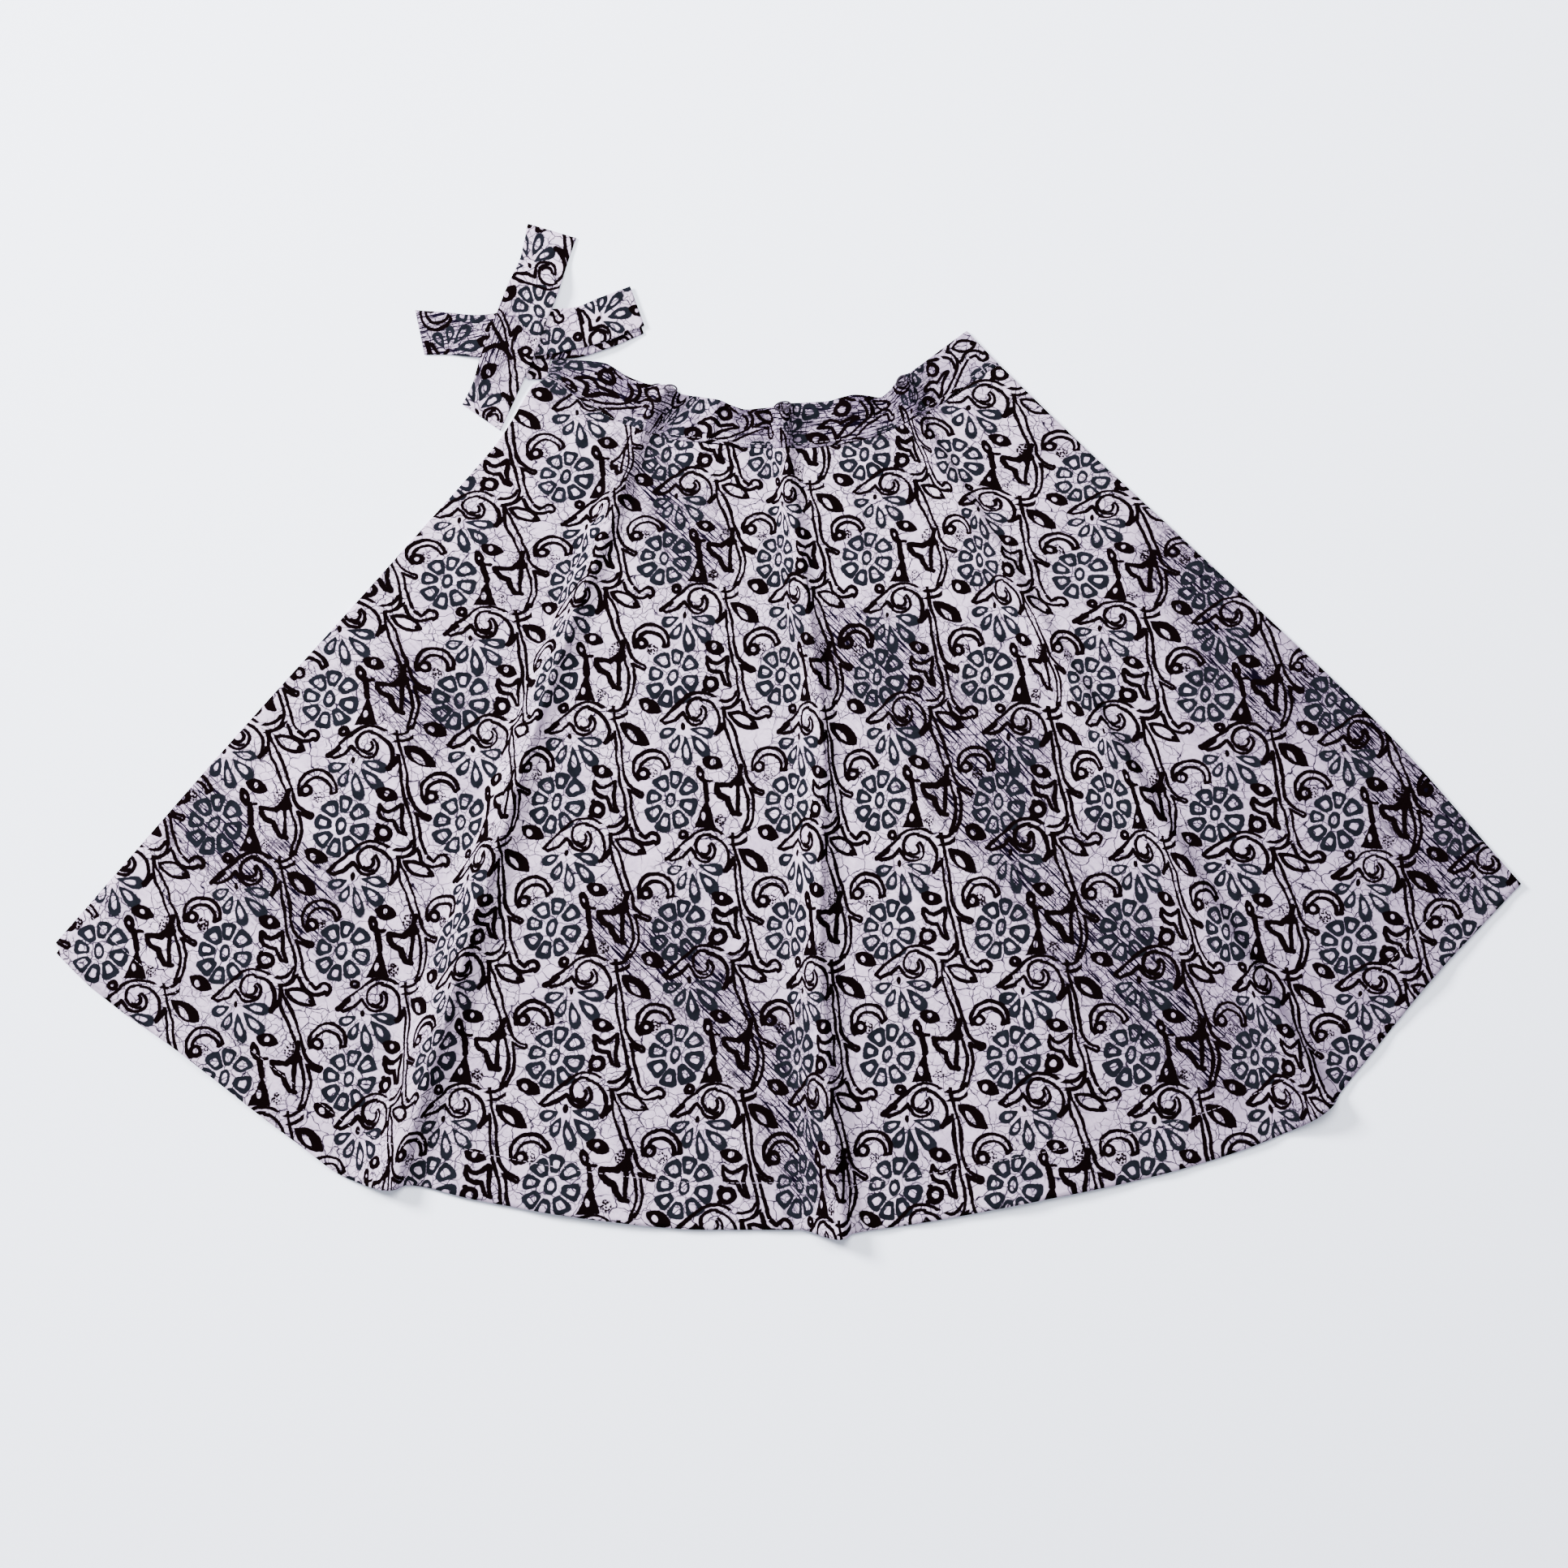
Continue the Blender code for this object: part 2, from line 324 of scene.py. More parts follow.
# Sharp fold on the right side of each flute: how much higher it stands there, down the skirt. Its place
# and width are shares of the step from the flute's line to the next one.
FOLDS = table(
    "line seam hip upper lower hem",
    (LEFT_FLUTE, 0.5, 2.1, 2.9, 3.4, 3.0),
    (MIDDLE_FLUTE, 0.5, 1.8, 2.8, 3.2, 3.2),
    (RIGHT_FLUTE, 0.5, 1.6, 2.2, 3.0, 3.0),
)
FOLD_PLACE = 0.4
FOLD_WIDTH = 0.21

# The turned hem, its scallops and its stitches. Depths up from the hem are shares of the panel's length.
PANEL_LENGTH = 603
HEM_DEPTH = 35 / PANEL_LENGTH
HEM_STEP = 0.35
HEM_STEP_WIDTH = 0.1 * HEM_DEPTH
SCALLOP_DEPTH = 14 / PANEL_LENGTH
SCALLOPS = table("length height turn", (61, 0.9, 0.3), (37, 0.6, 2.1), (23, 0.35, 4.0))
STITCH_PITCH = 4.2
STITCH_LENGTH = 2.6
STITCH_THICKNESS = 0.32
WAIST_STITCH_UP = 3.0

# How far along the print has run at a line when it has reached x = 0, and how much lower it sits there
PRINT_SHIFTS = table(
    "line seam middle hem drop",
    (LEFT_EDGE, 172, 176, 174, 18),
    (2, 170, 168, 166, 18),
    (4, 169, 161, 161, 17),
    (6, 182, 179, 190, 0),
    (8, 184, 176, 176, 0),
    (10, 188, 175, 163, 0),
    (12, 205, 190, 185, 0),
    (14, 208, 193, 178, 0),
    (16, 213, 194, 166, 0),
    (18, 226, 210, 183, 5),
    (20, 224, 209, 186, 15),
    (RIGHT_FOLD, 222, 208, 188, 18),
)

# Where each repeat of the waistband's print lies, by line of cloth
BAND_REPEATS = table(
    "line repeat",
    (1, -0.25),
    (2, 0),
    (5, 0.42),
    (8, 1),
    (13.2, 2),
    (19, 3),
    (22, 3.45),
)
BAND_WIDTH = 36
CROWN_UP = 14
CROWN = (36.6, 9.3)
TIE_PRINT_SIZE = 0.9
PRINT_ROWS = table(
    "y number",
    (-449, 6),
    (-348, 5),
    (-248, 4),
    (-151, 3),
    (-54, 2),
    (41.5, 1),
    (131, 0),
    (211, -1),
    (296, -2),
    (390, -3),
)


def smooth(stations, values, places):
    """Values at some places, on a curve through the stations that never overshoots them."""
    stations = np.asarray(stations, float)
    places = np.asarray(places, float)
    values = np.asarray(values, float).reshape(len(stations), -1)
    gaps = np.diff(stations)[:, None]
    slopes = np.diff(values, axis=0) / gaps
    tangents = np.zeros_like(values)
    tangents[0] = slopes[0]
    tangents[-1] = slopes[-1]
    before, after = slopes[:-1], slopes[1:]
    level = before * after <= 0
    early = gaps[:-1] + 2 * gaps[1:]
    late = 2 * gaps[:-1] + gaps[1:]
    rising_before = np.where(level, 1.0, before)
    rising_after = np.where(level, 1.0, after)
    mean = (early + late) / (early / rising_before + late / rising_after)
    tangents[1:-1] = np.where(level, 0.0, mean)
    cell = np.clip(np.searchsorted(stations, places, side="right") - 1, 0, len(stations) - 2)
    share = (places - stations[cell])[:, None] / gaps[cell]
    back = 1 - share
    start = values[cell] * (1 + 2 * share) * back**2 + tangents[cell] * gaps[cell] * share * back**2
    end = values[cell + 1] * (3 - 2 * share) * share**2 - tangents[cell + 1] * gaps[cell] * back * share**2
    return start + end


def column(rows, *names):
    """The named columns of a table, as an array with a row for each of its rows."""
    return np.array([[getattr(row, name) for name in names] for row in rows], float)


def hem_runs():
    """Distance along the hem of each line of cloth."""
    steps = np.diff(column(LINES, "hem_x", "hem_y"), axis=0)
    return np.concatenate([[0.0], np.cumsum(np.linalg.norm(steps, axis=1))])


RUNS = hem_runs()


def face_runs(first_line, finer):
    """Distance along the hem of each column of corners, from a line to the right fold."""
    runs = [RUNS[first_line]]
    for line, start, end in zip(LINES[first_line:], RUNS[first_line:], RUNS[first_line + 1 :]):
        steps = line.steps * finer
        runs.extend(start + (end - start) * (step + 1) / steps for step in range(steps))
    return np.array(runs)


def runs_of(rows):
    """Distance along the hem of the lines of cloth that a table names."""
    return RUNS[[row.line for row in rows]]


def swing_at(runs, down):
    """Sideways swing of the cloth, for each row down the skirt and each column."""
    swings = np.zeros((len(STATIONS), len(runs)))
    swings[1:-1] = smooth(runs_of(SWINGS), column(SWINGS, "hip", "upper", "lower"), runs).T
    return smooth(STATIONS, swings, down)


def rise_at(runs, *names):
    """Height of the flutes and swells at each column, a row for each named place down them."""
    rises = np.zeros((len(LINES), len(names)))
    for flute in FLUTES:
        rises[flute.line] = [getattr(flute, name) for name in names]
    return smooth(RUNS, rises, runs).T


def bumps_at(places, rows, name):
    """A named size of a table's soft bumps, summed at places along x."""
    x, half_width, size = column(rows, "x", "half_width", name).T[:, :, None]
    return (size * np.exp(-(((places - x) / half_width) ** 2))).sum(axis=0)


def panel_points(runs, down):
    """Front panel's underside, rows from seam to hem and columns from left to right."""
    seam = smooth(RUNS, column(LINES, "seam_x", "seam_y"), runs)
    hem = smooth(RUNS, column(LINES, "hem_x", "hem_y"), runs)
    points = np.zeros((len(down), len(runs), 3))
    points[:, :, :2] = seam + (hem - seam) * down[:, None, None]
    points[:, :, 0] += swing_at(runs, down)
    rises = rise_at(runs, "seam", "hip", "upper", "lower", "hem")
    points[:, :, 2] = smooth(STATIONS, rises, down)
    return points


def crease_heights(points):
    """Height that the creases add to each point: highest in the middle of a crease, gone at its ends."""
    heights = np.zeros(points.shape[:2])
    for crease in CREASES:
        start = np.array([crease.x1, crease.y1], float)
        along = np.array([crease.x2, crease.y2], float) - start
        length = np.linalg.norm(along)
        away = points[:, :, :2] - start
        share = away @ along / length**2
        beside = (away[:, :, 0] * along[1] - away[:, :, 1] * along[0]) / length
        taper = np.clip(4 * share * (1 - share), 0, 1) ** CREASE_TAPER
        heights += crease.height * taper * np.exp(-((beside / crease.half_width) ** 2))
    return heights


def fold_heights(runs, down):
    """Height that the sharp fold on each flute's right side adds, rows by columns."""
    heights = np.zeros((len(down), len(runs)))
    for fold in FOLDS:
        gap = RUNS[fold.line + 1] - RUNS[fold.line]
        middle = RUNS[fold.line] + FOLD_PLACE * gap
        rise = smooth(STATIONS, fold[1:], down)
        heights += rise * np.exp(-(((runs - middle) / (FOLD_WIDTH * gap)) ** 2))[None, :]
    return heights


def hem_heights(runs, down):
    """Height that the doubled cloth of the hem and its scallops add, rows by columns."""
    up = (HEM - down)[:, None]
    doubled = HEM_STEP * np.clip((HEM_DEPTH - up) / HEM_STEP_WIDTH + 0.5, 0, 1)
    wave = np.zeros(len(runs))
    for scallop in SCALLOPS:
        wave += scallop.height * (1 + np.sin(2 * np.pi * runs / scallop.length + scallop.turn))
    return doubled + 0.5 * wave * np.exp(-up / SCALLOP_DEPTH)


def front_points(runs, down):
    """The dressed front panel's underside, with its creases and its hem."""
    points = panel_points(runs, down)
    points[:, :, 2] += crease_heights(points) + fold_heights(runs, down) + hem_heights(runs, down)
    return points


def back_points(runs, down):
    """Back panel's underside: the front one laid flat, with its own hem."""
    points = panel_points(runs, down)
    points[:, :, 2] = 0
    shows = smooth(runs_of(BACK_HEMS), column(BACK_HEMS, "shows"), runs)
    points[:, :, 1] -= shows[:, 0] * down[:, None] ** HEM_TURN
    return points


def band_points(runs):
    """Waistband's underside over its flutes, rows from its top edge to the waist seam."""
    up = BAND_UP[:, :, None]
    seam = smooth(RUNS, column(LINES, "seam_x", "seam_y"), runs)
    top = smooth(RUNS[BAND_END:], column(BAND_TOPS, "x", "y"), runs)
    parting = (top - seam) / np.linalg.norm(top - seam, axis=1)[:, None] * GAP / MM
    seam = seam + parting
    points = np.zeros((len(up), len(runs), 3))
    points[:, :, :2] = seam + (top - seam) * up
    top_rise, seam_rise = rise_at(runs, "band", "seam")
    gathers = bumps_at(seam[:, 0], GATHERS, "rise")
    top_rise = top_rise + gathers
    seam_rise = seam_rise + gathers * GATHER_AT_SEAM
    points[:, :, 2] = seam_rise + (top_rise - seam_rise) * BAND_UP
    return points


def back_band_points(runs):
    """Back waistband's underside: flat, with lips where the flutes are open."""
    points = band_points(runs)
    points[:, :, 2] = bumps_at(points[0, :, 0], MOUTHS, "lift") * BAND_UP**LIFT_CURVE
    return points


def front_band_points(runs):
    """Front waistband's underside, drawn back from its top edge where the flutes are open."""
    points = band_points(runs)
    rising = points[0, :, :2] - points[-1, :, :2]
    rising /= np.linalg.norm(rising, axis=1)[:, None]
    back = bumps_at(points[0, :, 0], MOUTHS, "back")[:, None]
    points[:, :, :2] -= rising * back * BAND_UP[:, :, None] ** BACK_CURVE
    return points


def strip_points(sections):
    """Underside of a tie: sections along it by points across it."""
    stations = np.arange(len(sections))
    places = np.linspace(0, len(sections) - 1, (len(sections) - 1) * TIE_STEPS + 1)
    read = smooth(stations, sections, places)
    across = np.linspace(0, 1, TIE_ROWS + 1)[None, :, None]
    first, second = read[:, None, 0:2], read[:, None, 2:4]
    points = np.zeros((len(places), TIE_ROWS + 1, 3))
    points[:, :, :2] = first + (second - first) * across
    points[:, :, 2] = read[:, 4:5] * LEVEL / MM
    return points


def panel_print(points, runs, down):
    """Where each point of a panel lies on the printed cloth, in millimetres along and up."""
    lines = runs_of(PRINT_SHIFTS)
    shifts = smooth(lines, column(PRINT_SHIFTS, "seam", "middle", "hem"), runs).T
    drop = smooth(lines, column(PRINT_SHIFTS, "drop"), runs)[:, 0]
    spots = np.zeros((*points.shape[:2], 2))
    spots[:, :, 0] = points[:, :, 0] + smooth([SEAM, 0.5, HEM], shifts, down)
    height = (points[:, :, 1] + drop).ravel()
    row = smooth(column(PRINT_ROWS, "y")[:, 0], column(PRINT_ROWS, "number"), height)
    spots[:, :, 1] = -row.reshape(points.shape[:2]) * CELL_HEIGHT
    return spots


def tie_print(points, tie):
    """Print seen from behind and turned, so that the tie's spot of the printed cloth lies at its mark."""
    away = (points[:, :, :2] - np.array(tie.mark, float)) / TIE_PRINT_SIZE
    cos, sin = math.cos(math.radians(tie.turn)), math.sin(math.radians(tie.turn))
    along = away[:, :, 0] * cos + away[:, :, 1] * sin
    up = -away[:, :, 0] * sin + away[:, :, 1] * cos
    return np.stack([along + tie.spot[0], tie.spot[1] - up], axis=2)


def band_print(points, runs):
    """Print on the waistband, seen from behind and cut on the bias: a repeat is a cell's diagonal."""
    repeats = column(BAND_REPEATS, "line", "repeat")
    lines = smooth(RUNS, np.arange(len(RUNS)), runs)[:, 0]
    repeat = smooth(repeats[:, 0], repeats[:, 1], lines)[:, 0]
    diagonal = np.array([CELL_WIDTH, -CELL_HEIGHT])
    across = np.array([-CELL_HEIGHT, -CELL_WIDTH]) / math.hypot(CELL_WIDTH, CELL_HEIGHT)
    up = np.linspace(BAND_WIDTH, 0, len(points))[:, None, None] - CROWN_UP
    return np.array(CROWN) + diagonal * repeat[None, :, None] + across * up / TIE_PRINT_SIZE


def added(name, data):
    """A new object in the scene."""
    thing = bpy.data.objects.new(name, data)
    bpy.context.scene.collection.objects.link(thing)
    return thing


def new_piece(name, shapes, material):
    """A new object made of shapes, which are used up."""
    mesh = bpy.data.meshes.new(name)
    shapes.to_mesh(mesh)
    shapes.free()
    mesh.materials.append(material)
    return added(name, mesh)


def thicken(piece, side):
    """Turns faces into walls of cloth, on the side they face (1) or on the other one (-1)."""
    wall = piece.modifiers.new("wall", "SOLIDIFY")
    wall.thickness = CLOTH
    wall.offset = side
    wall.use_even_offset = True


def cloth(name, points, level, spots, material):
    """A thin wall of cloth whose underside runs through the points.

    Rows of points run towards -Y and columns towards +X, so the grid faces up. Spots are places on the
    printed cloth in millimetres.
    """
    rows, columns = points.shape[:2]
    grid = bmesh.new()
    bmesh.ops.create_grid(grid, x_segments=columns - 1, y_segments=rows - 1, size=1)
    piece = new_piece(name, grid, material)
    mesh = piece.data
    corners = np.zeros(len(mesh.vertices) * 3)
    mesh.vertices.foreach_get("co", corners)
    corners = corners.reshape(-1, 3)
    row = np.rint((1 - corners[:, 1]) / 2 * (rows - 1)).astype(int)
    place = np.rint((1 + corners[:, 0]) / 2 * (columns - 1)).astype(int)
    moved = points[row, place] * MM
    moved[:, 2] += level * LEVEL
    mesh.vertices.foreach_set("co", moved.astype(np.float32).ravel())
    loops = np.zeros(len(mesh.loops), np.int32)
    mesh.loops.foreach_get("vertex_index", loops)
    layer = mesh.uv_layers.new(name="print")
    read = spots[row[loops], place[loops]] * MM
    layer.uv.foreach_set("vector", read.astype(np.float32).ravel())
    mesh.update()
    mesh.shade_smooth()
    thicken(piece, 1)
    return piece


def dressed(piece, node):
    """The piece rides with the skirt and stands for a solid of it."""
    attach(piece, "root")
    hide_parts(node)
    return piece


# The print: cells in millimetres of flat cloth, with rosettes set a little off the even grid. It leans
# a little to the side, and a shape that one kind of cell lacks is put out of reach there.
CELL_WIDTH = 88
CELL_HEIGHT = 97.5
ROSETTE_OFF = (1.6, -0.7)
LEAN = 0.04
FAR = 60

# Middle of the cell-sized window round each group of shapes
ROSETTE_WINDOW = (14, 5)
PALMETTE_WINDOW = (12, 55)
VINE_WINDOW = (60, 25)
HOOK_WINDOW = (66, -20)

Arc = namedtuple("Arc", "x y radius start end half_width")
Bar = namedtuple("Bar", "x1 y1 x2 y2 half_width")
Oval = namedtuple("Oval", "x y half_length half_height turn")
Leaf = namedtuple("Leaf", "x1 y1 x2 y2 width")
Flower = namedtuple("Flower", "middle petals cut size half_width wedges")
Petal = namedtuple("Petal", "reach angle half_length half_width")
ROSETTE_PETALS = [
    Petal(14.4, 119, 4.9, 3.9),
    Petal(16.4, 79, 4.9, 3.4),
    Petal(16.3, 38, 5.1, 4.1),
    Petal(14.2, -17, 5.2, 4.3),
    Petal(15.9, -65, 5.3, 3.8),
    Petal(17.4, -104, 5.2, 3.5),
    Petal(15.7, -142, 4.8, 4.0),
    Petal(12.8, 169, 4.3, 3.6),
]
PALMETTE_PETALS = [
    Petal(12.4, -156, 5.0, 2.9),
    Petal(14.7, -113, 5.6, 2.6),
    Petal(19.7, -81, 8.4, 2.9),
    Petal(20.0, -48, 7.6, 3.3),
    Petal(15.4, -14, 7.2, 2.9),
]
ROSETTE = Flower((0, 0), ROSETTE_PETALS, 194, 4.6, 1.15, True)
ROSETTE_EYE = Oval(0, 0, 3.1, 5.1, -9)
EYE_HALF_WIDTH = 0.75
PALMETTE = Flower((8.8, 50.5), PALMETTE_PETALS, 90, 3.4, 0.7, False)
PALMETTE_EYE = Oval(8.8, 50.5, 1.2, 2.1, 0)

# Drops beside the rosette and leaves beside the vine
DROP = Leaf(25.5, 26.5, 40.5, 20.7, 9.5)
DROP_HOLE = Oval(32.6, 24.4, 2.3, 2.9, 0)
LOWER_DROP = Leaf(-25, -19, -9.5, -27.5, 10.5)
LOWER_DROP_HOLE = Oval(-19.6, -23.4, 2.5, 3.4, 20)
DARK_LEAF = Leaf(45.5, 61, 66.5, 44.5, 12)
DARK_LEAF_HOLE = Leaf(50, 57.2, 59, 46.2, 5.2)
OPEN_LEAF = Leaf(45, 67.5, 65, 56.5, 9.5)
OPEN_LEAF_HALF_WIDTH = 0.85
OPEN_LEAF_VEIN = Bar(62, 58.3, 64.4, 57, 1.1)

# A shift is how far a shape stands from its place in the second kind of cell
DROP_SHIFT = (-1.5, 5.5)
CURL = [
    Arc(0, 0, 13.3, -15, 205, 0.9),
    Arc(0, -2, 9.6, -15, 150, 0.8),
    Arc(-7.5, -1.7, 3.6, -180, 180, 1.1),
    Bar(13.2, -3.5, 9.4, -4.5, 0.95),
]
CURL_MIDDLE = (-16.5, 29)
CURL_SHIFT = (1.5, -4)
CURL_TURN = math.radians(22)
SCROLL = [
    Bar(-8.5, 54.4, -3, 60.5, 1.0),
    Bar(-8.5, 54.4, -5, 52.6, 0.9),
    Bar(-3, 60.5, 8.5, 70.5, 0.7),
    Arc(21.9, 59.9, 17.2, 50, 141, 0.7),
    Arc(41, 80, 9.5, 250, 350, 0.85),
    Arc(40.8, 79.6, 14.7, 266, 330, 0.85),
    Arc(21, 64, 9, 75, 285, 0.75),
    Arc(20, 55, 17.1, -38, 83, 0.85),
    Arc(19, 60, 8, 205, 415, 0.7),
    Bar(12.2, 56.2, 8.5, 61.3, 0.9),
    Bar(8.5, 61.3, 3, 55.5, 0.9),
    Bar(3, 55.5, -5, 52.6, 0.9),
    Arc(19, 61.5, 4.4, 230, 405, 0.75),
    Bar(36.2, 46.5, 39.8, 52, 1.4),
    Bar(41, 51, 35, 44.2, 0.8),
]
SCROLL_SHIFT = (-0.8, 6.5)
SCROLL_TIP = [Bar(-9, 54, -1, 60.5, 1.6), Arc(3, 72.5, 2.6, -180, 180, 1.2)]
FINGER = [
    Arc(66, 24, 17, 187, 257, 0.85),
    Bar(53.2, 8.4, 61, 4.4, 1.0),
    Arc(61.4, 5.8, 1.7, -120, 80, 0.8),
]
FINGER_SHIFT = (8, 0.5)
HOOK = [
    Arc(66.8, -21.5, 11, 205, 310, 0.9),
    Arc(72.5, -28.2, 4.3, -75, 150, 0.9),
    Bar(69.2, -25.5, 66.3, -28.2, 0.9),
    Bar(66.3, -28.2, 62.3, -24.5, 0.9),
    Bar(54.8, -19.8, 56.9, -26, 0.9),
]

# The vine's left and right line: x of each at some heights, in the first and in the second kind of cell
VINE = table(
    "height first_left first_right second_left second_right",
    (74, 37, 40, 39, 40.5),
    (66, 38, 41, 40, 41.5),
    (60, 39.5, 42.2, 40.3, 44.8),
    (52, 41.2, 44.4, 41.8, 48),
    (44, 42.2, 46.5, 45, 50.6),
    (36, 42.8, 47.4, 48, 53),
    (28, 44, 48, 50.8, 55.8),
    (20, 45.5, 49.6, 53.4, 58.3),
    (13, 46.7, 51.4, 55.3, 60),
    (8, 48.2, 53, 56.6, 61),
    (3, 49.6, 54.2, 58, 62.2),
    (-5, 51, 55.4, 59, 63.2),
    (-12, 52, 57, 58.4, 62.4),
    (-17, 51.2, 58.6, 57, 60.8),
    (-21, 48.5, 60.2, 55.6, 59.2),
    (-24.5, 43, 62.4, 54.6, 57.8),
)
VINE_START = 30
VINE_REACH = 40
VINE_HALF_WIDTH = 0.72
FINGER_ROOT = (9, 21)
STEM_TOP = 54

BELL = [
    Bar(34.5, 12, 45, 11.3, 1.5),
    Bar(45, 11.3, 51.6, 17.5, 2.0),
    Bar(51.6, 17, 53.6, 26, 1.7),
    Bar(34.4, 12, 34.7, 8.2, 1.5),
    Bar(34.7, 8.2, 37.4, 4, 1.6),
    Bar(37.4, 4, 42.8, 1, 1.7),
    Bar(42.8, 1, 44.6, -4.5, 1.7),
    Bar(44.6, -4.5, 47.6, -9.5, 1.6),
    Bar(47.6, -9.5, 52.4, -10.8, 1.5),
    Bar(51.4, 14, 51, -9, 1.2),
    Bar(50.5, 13, 53.6, 14.5, 2.6),
]
KEY = [Bar(25.4, 15.4, 27.6, 0.5, 1.7), Bar(23.5, 15, 31, 15, 0.7)]
KEY_RING = Oval(22.4, 20.8, 2.2, 4.2, 14)
TRIANGLE = table("x y offset", (-0.914, 0.406, 25.3), (0.965, 0.262, -27.1), (0, -1, -20.4))
TRIANGLE_HOLE = Oval(25.3, -12.6, 2.0, 3.6, 0)
TULIP_POINTS = [(27.4, 16), (26.7, 11), (28.6, 6.3), (32.4, 4.4), (37.2, 3.8), (39.2, -0.8), (41.2, -5.3)]
TULIP_POINTS += [(45.2, -7), (43.2, -1.4), (42.3, 4.4), (43, 10.6), (43, 16), (38.6, 12.6), (34.6, 10.7)]
TULIP_POINTS += [(30.8, 12), (27.4, 16)]
TULIP = [Bar(*one, *other, 1.15) for one, other in zip(TULIP_POINTS, TULIP_POINTS[1:])]
HEART = Oval(30, -5.6, 4.7, 4.9, 0)
HEART_CORNERS = [Bar(25, -11, 26.6, -9.2, 1.6), Bar(26.6, 0.4, 27.8, -1.4, 1.3)]
RING_HALF_WIDTH = 1.5

# Patches of fine dots: two by the bell, which the first kind of cell lacks, and one inside the curl
DOT_PATCHES = table(
    "shape second_only",
    (Oval(49.5, 21, 5.4, 5.6, 0), 1),
    (Oval(38, -15.5, 3.4, 4, 0), 1),
    (Oval(-15.5, 21.5, 3.6, 4.4, 0), 0),
)
DOT_PITCH = 1.9
DOT_RADIUS = 0.1

# How far ink spreads past its drawn edge, and half the width over which it fades out
INK_SPREAD = 0.72
INK_FADE = 0.35

# Stains that run slantwise over the laid skirt, where the dye went through cracked wax
STAINS = [
    Bar(-114, 194, -72, 138, 13),
    Bar(-125, -149, -26, -236, 20),
    Bar(-26, -236, 18, -335, 17),
    Bar(36, 74, 173, -31, 20),
    Bar(123, -43, 216, -143, 18),
    Bar(216, -143, 321, -242, 22),
    Bar(297, 130, 365, 25, 20),
    Bar(414, 37, 507, -99, 22),
    Bar(-454, -62, -367, -136, 18),
    Bar(-290, 34, -276, 12, 18),
    Bar(-6, 250, 84, 250, 22),
    Bar(-262, 306, -236, 300, 22),
    Bar(-166, 274, -104, 254, 8),
]
STAIN_EDGE = 26
STAIN_HEART = -6

# Random patches: size in millimetres, detail and roughness
RAGGED = (2.4, 2.0, 0.5)
SWELLING = (26, 1.0, 0.5)
CLOUDS = (34, 3.0, 0.6)
MOTTLE = (3.2, 3.0, 0.7)
BLUE_DEPTH = (9, 2.0, 0.5)
CRUMPLE = (15, 3.0, 0.55)
STAIN_RAGGED = (14, 3.0, 0.65)
HATCHING = (1.7, 2.0, 0.6)

# Soft bends: size and reach in millimetres
INK_BENDS = (17, 3.2)
STAIN_BENDS = (60, 44)

# Cracks: a wide and a close net, each in random patches, and slanting hatching
NETS = table("size width low high strength", (13, 0.065, 0.24, 0.44, 0.9), (6.5, 0.09, 0.4, 0.54, 0.8))
HATCHING_TURN = math.radians(48)
HATCHING_STRETCH = (0.06, 1.0, 0)

# The weave and the crumples: pitch in millimetres, share of the bump, and depth of the bump in metres
THREAD_PITCH = 0.6
THREAD_HEIGHT = 0.03
BUMP_DEPTH = 0.0011


class Field:
    """A number or a vector that varies over a surface, with Python's arithmetic."""

    def __init__(self, graph, socket):
        self.graph = graph
        self.socket = socket
        self.vector = socket.type == "VECTOR"

    def maths(self, operation, *others):
        """This field with some others, through one Math or Vector Math node."""
        given = dict(enumerate((self, *others)))
        if not self.vector:
            return self.graph.node("Math", {"operation": operation}, given)
        output = 1 if operation in ("LENGTH", "DISTANCE", "DOT_PRODUCT") else 0
        return self.graph.node("VectorMath", {"operation": operation}, given, output)

    def __add__(self, other):
        return self.maths("ADD", other)

    def __sub__(self, other):
        return self.maths("SUBTRACT", other)

    def __rsub__(self, other):
        return self.graph.node("Math", {"operation": "SUBTRACT"}, {0: other, 1: self})

    def __mul__(self, other):
        if self.vector and not isinstance(other, tuple):
            given = {0: self, "Scale": other}
            return self.graph.node("VectorMath", {"operation": "SCALE"}, given)
        return self.maths("MULTIPLY", other)

    def __truediv__(self, other):
        return self.maths("DIVIDE", other)

    def __abs__(self):
        return self.maths("ABSOLUTE")

    def least(self, other):
        return self.maths("MINIMUM", other)

    def most(self, other):
        return self.maths("MAXIMUM", other)

    def times_plus(self, factor, offset):
        return self.maths("MULTIPLY_ADD", factor, offset)

    def along(self, x, y):
        """How far a vector reaches along a direction."""
        return self.maths("DOT_PRODUCT", (x, y, 0))

    def parts(self):
        """The x and y of a vector."""
        split = self.graph.node("SeparateXYZ", {}, {0: self})
        return split, Field(self.graph, split.socket.node.outputs[1])

    def share(self, start, end, smoothed=True):
        """0 before the start, 1 past the end, and in between a soft ramp."""
        settings = {"interpolation_type": "SMOOTHSTEP" if smoothed else "LINEAR"}
        return self.graph.node("MapRange", settings, {0: self, 1: start, 2: end, 3: 0, 4: 1})


